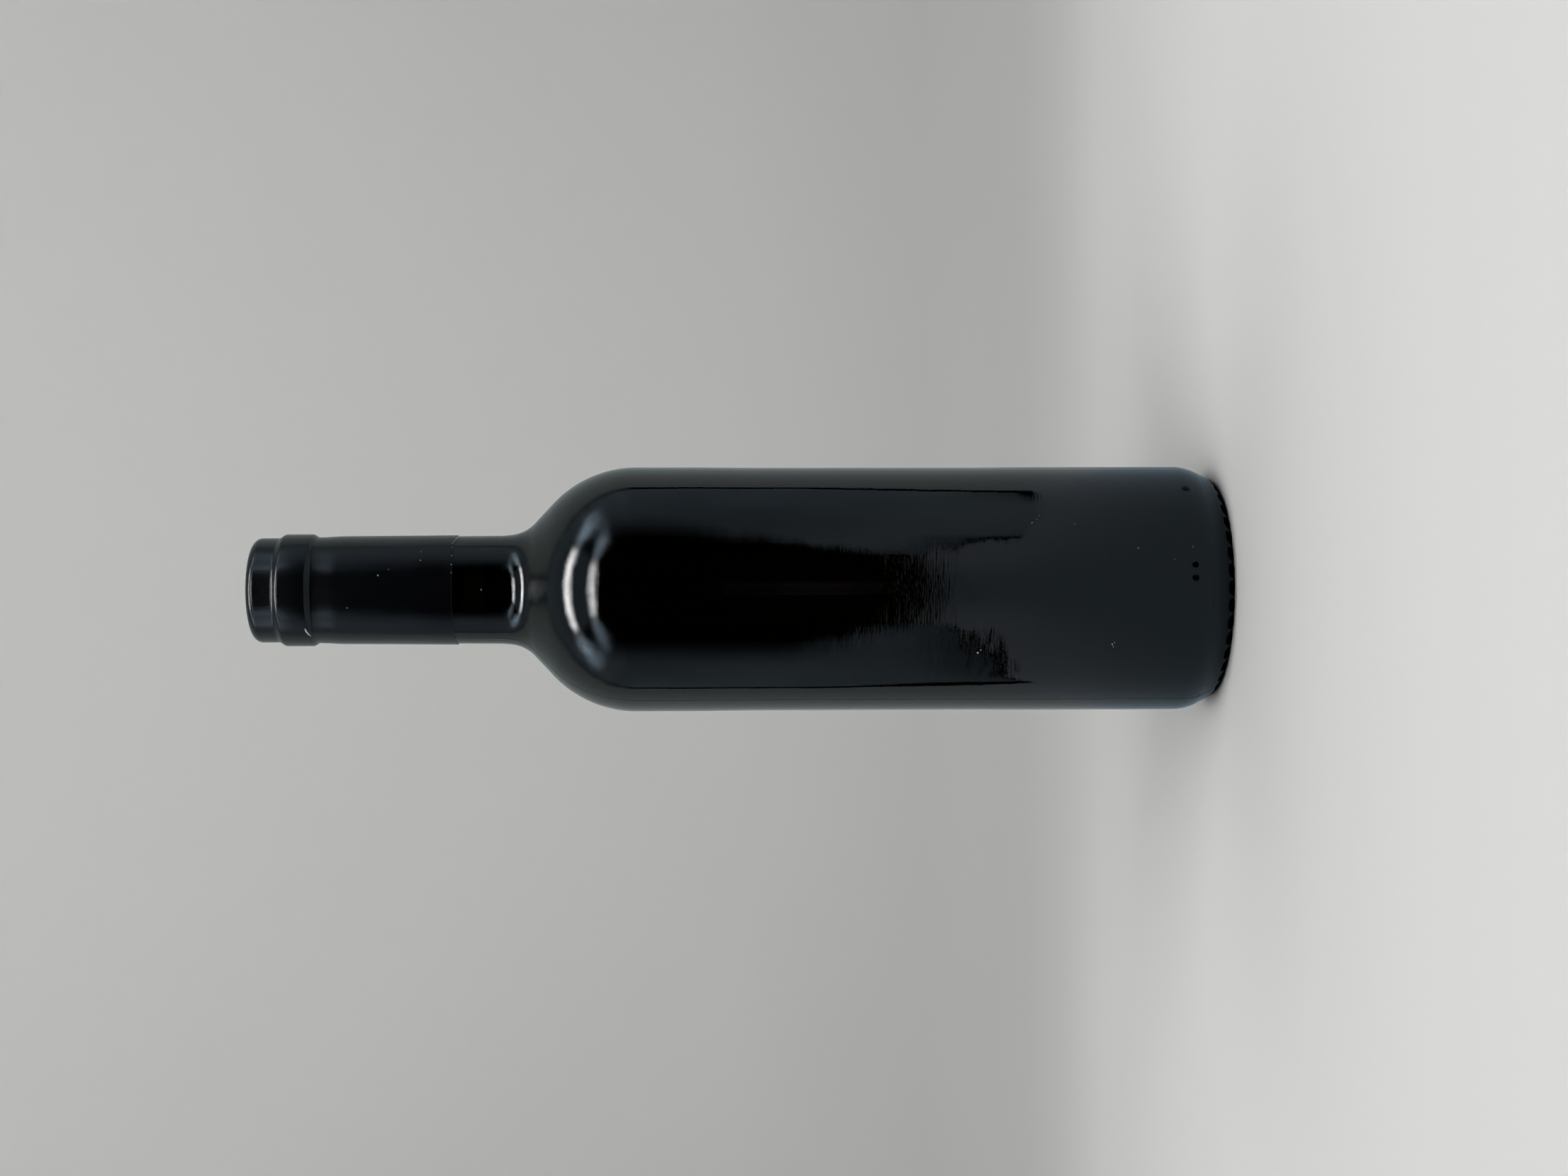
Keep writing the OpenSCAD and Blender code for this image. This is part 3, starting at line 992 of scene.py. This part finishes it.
def build_wall(name, plan, slant_z, shade, pale_foot):
    """A side sheet, seen only in the glass."""
    points = [(x, y, z) for row, z in zip(plan, SHEET_HEIGHTS) for x, y in row]
    material = wall_material(name, slant_z, shade, pale_foot)
    sheet = stage_mesh(name, points, grid_faces(len(plan), len(plan[0])), material)
    hide_but_in_mirrors(sheet)


def build_bar(name, path, half, material):
    """A square dark bar along a path."""
    corners = ((-1, -1, 1), (1, -1, -1), (1, 1, -1), (-1, 1, 1))
    points = [(x + half * a, y + half * b, z + half * c) for x, y, z in path for a, b, c in corners]
    faces = []
    for low in range(0, 4 * (len(path) - 1), 4):
        faces += [(low + j, low + (j + 1) % 4, low + 4 + (j + 1) % 4, low + 4 + j) for j in range(4)]
    hide_but_in_mirrors(stage_mesh(name, points, faces, material))


def build_frame():
    """Dark bars of the tent: two upright at the back, one across the top between them."""
    material, r = new_material("dark bar")
    finish_material(r, r.glow((0, 0, 0)))
    for name, plan in (("right", RIGHT_SHEET), ("left", LEFT_SHEET)):
        post = [(*row[-1], z) for row, z in zip(plan, SHEET_HEIGHTS)]
        build_bar(f"{name} bar", post, POST_HALF, material)
    across = [(x, CEILING_BACK, TENT_TOP) for x in (-CEILING_HALF, CEILING_HALF)]
    build_bar("cross bar", across, CROSS_HALF, material)


# The room's wall and vault: distance and height of each row of points
ROOM_ROWS = ((2.2, 0), (2.2, 3), (1.2, 5), (0.0, 6))


def build_room():
    """Pale room behind the tent, seen only in the glass."""
    material, r = new_material("pale room")
    finish_material(r, r.glow((0.31, 0.36, 0.35)))
    turns = [102 + 156 * i / 24 for i in range(25)]
    points = [(far * sin(a), -far * cos(a), z) for far, z in ROOM_ROWS for a in turns]
    faces = grid_faces(len(ROOM_ROWS), len(turns))
    hide_but_in_mirrors(stage_mesh("pale room", points, faces, material))


def build_front():
    """Dim upright shapes in the dark in front of the tent."""
    material, r = new_material("dim front")
    point = r.place()
    x, _, z = r.axes(point)
    stripes = r.noise(r.stretched(point, (26, 0, 1.2)), 1.0, 3.0).smooth(0.50, 0.72)
    middle = (0.16 - abs(x - 0.02)).smooth(0.0, 0.05) * (0.15 - z).smooth(0.0, 0.11)
    colour = r.blend(middle, (0.006, 0.010, 0.030, 1), (0.042, 0.034, 0.036, 1))
    finish_material(r, r.glow(colour, stripes + middle))
    points = [(x, FRONT_Y, z) for z in (0.0, FRONT_TOP) for x in (-FRONT_HALF, FRONT_HALF)]
    hide_but_in_mirrors(stage_mesh("dim front", points, grid_faces(2, 2), material))


def build_level_sheet(name, half, ends, z, material):
    points = [(x, y, z) for y in ends for x in (-half, half)]
    hide_but_in_mirrors(stage_mesh(name, points, grid_faces(2, 2), material))


# Painted light: the ceiling sheet glows, more in a spill round each row of lamps, and is seen only in the
# glass
def build_ceiling():
    material, r = new_material("ceiling sheet")
    _, y, _ = r.axes(r.place())
    spill = 0.0
    for strip_y in STRIP_YS:
        spill = (1 - abs(y - strip_y).smooth(0.0, 0.12)) + spill
    glow = r.blend(y.smooth(-0.2, 0.1), (0.20, 0.27, 0.33, 1), (0.26, 0.33, 0.38, 1))
    finish_material(r, r.glow(glow, spill * 0.3 + 0.9))
    build_level_sheet("ceiling sheet", CEILING_HALF, (TENT_FRONT, CEILING_BACK), TENT_TOP, material)


def build_strips():
    """The two rows of lamps as the glass mirrors them."""
    for i, (y, width, glow) in enumerate(zip(STRIP_YS, STRIP_WIDTHS, STRIP_GLOWS)):
        material, r = new_material(f"lamp row {i}")
        x, _, _ = r.axes(r.place())
        fade = 1 - abs(x).smooth(STRIP_LENGTH / 2 - 0.10, STRIP_LENGTH / 2 + 0.02)
        finish_material(r, r.glow((1, 1, 1), fade * glow))
        ends = (y - width / 2, y + width / 2)
        build_level_sheet(f"lamp row {i}", STRIP_LENGTH / 2, ends, STRIP_Z, material)


def lamp(name, place, size, power, aim):
    """A lamp that shines on the bottle's surroundings, and that the glass doesn't mirror."""
    light = bpy.data.lights.new(name, "AREA")
    light.shape = "RECTANGLE"
    light.size, light.size_y = size
    light.energy = power
    holder = bpy.data.objects.new(name, light)
    holder.location = place
    holder.rotation_euler = (Vector(aim) - Vector(place)).to_track_quat("-Z", "Y").to_euler()
    holder.visible_glossy = False
    holder.visible_camera = False
    bpy.context.scene.collection.objects.link(holder)


def strip_power(glow, size):
    """Watts that give a lamp of this size a brightness."""
    return glow * size[0] * size[1] * math.pi


# The room behind everything, as the camera sees it, and as it lights the bottle
ROOM_PALE, ROOM_DARK = (0.45, 0.45, 0.44, 1), (0.4, 0.45, 0.5, 1)


def build_lights():
    for i, (y, width, glow) in enumerate(zip(STRIP_YS, STRIP_WIDTHS, STRIP_GLOWS)):
        row = (STRIP_LENGTH, width)
        lamp(f"row {i}", (0, y, STRIP_Z), row, strip_power(glow * STRIP_SHARE, row), (0, y, 0))
    lamp("soft top", (0, -0.15, SOFT_Z), (SOFT_SIDE, SOFT_SIDE), SOFT_POWER, (0, 0, 0))
    world = bpy.data.worlds.new("room")
    bpy.context.scene.world = world
    world.use_nodes = True
    world.node_tree.nodes.clear()
    r = Recipe(world.node_tree)
    seen = r.node("ShaderNodeLightPath", None, None, "Is Camera Ray")
    pale = r.node("ShaderNodeBackground", None, {"Color": ROOM_PALE, "Strength": 1.0})
    dark = r.node("ShaderNodeBackground", None, {"Color": ROOM_DARK, "Strength": 0.004})
    r.node("ShaderNodeOutputWorld", None, {"Surface": r.either(seen, dark, pale)})
    bpy.context.scene.view_settings.view_transform = "Standard"


# Where the camera stands in metres, its sensor and lens in millimetres, and its turns in radians
CAMERA_PLACE = (0.000256, -0.52446, 0.12214)
SENSOR, LENS = 36, 48
PITCH, ROLL = 0.028, 0.0026


def build_camera():
    """The camera looks almost level, and lies on its side: up in the world is left in the picture."""
    lens = bpy.data.cameras.new("camera")
    lens.sensor_width = SENSOR
    lens.lens = LENS
    lens.clip_start = 0.01
    right = Vector((1, 0, 0))
    up = Vector((0, math.sin(PITCH), math.cos(PITCH)))
    ahead = Vector((0, math.cos(PITCH), -math.sin(PITCH)))
    picture_right = -(math.sin(ROLL) * right + math.cos(ROLL) * up)
    picture_up = math.cos(ROLL) * right - math.sin(ROLL) * up
    axes = Matrix((picture_right, picture_up, -ahead)).transposed()
    camera = bpy.data.objects.new("camera", lens)
    camera.matrix_world = Matrix.Translation(CAMERA_PLACE) @ axes.to_4x4()
    bpy.context.scene.collection.objects.link(camera)
    bpy.context.scene.camera = camera


build_camera()
build_glass()
build_wine()
build_capsule()
build_dust()
build_sweep()
build_wall("right sheet", RIGHT_SHEET, slant_z=0.16, shade=0.97, pale_foot=(-0.31, 0.03))
build_wall("left sheet", LEFT_SHEET, slant_z=0.10, shade=0.92, pale_foot=(1.0, 1.0))
build_room()
build_front()
build_frame()
build_strips()
build_ceiling()
build_lights()
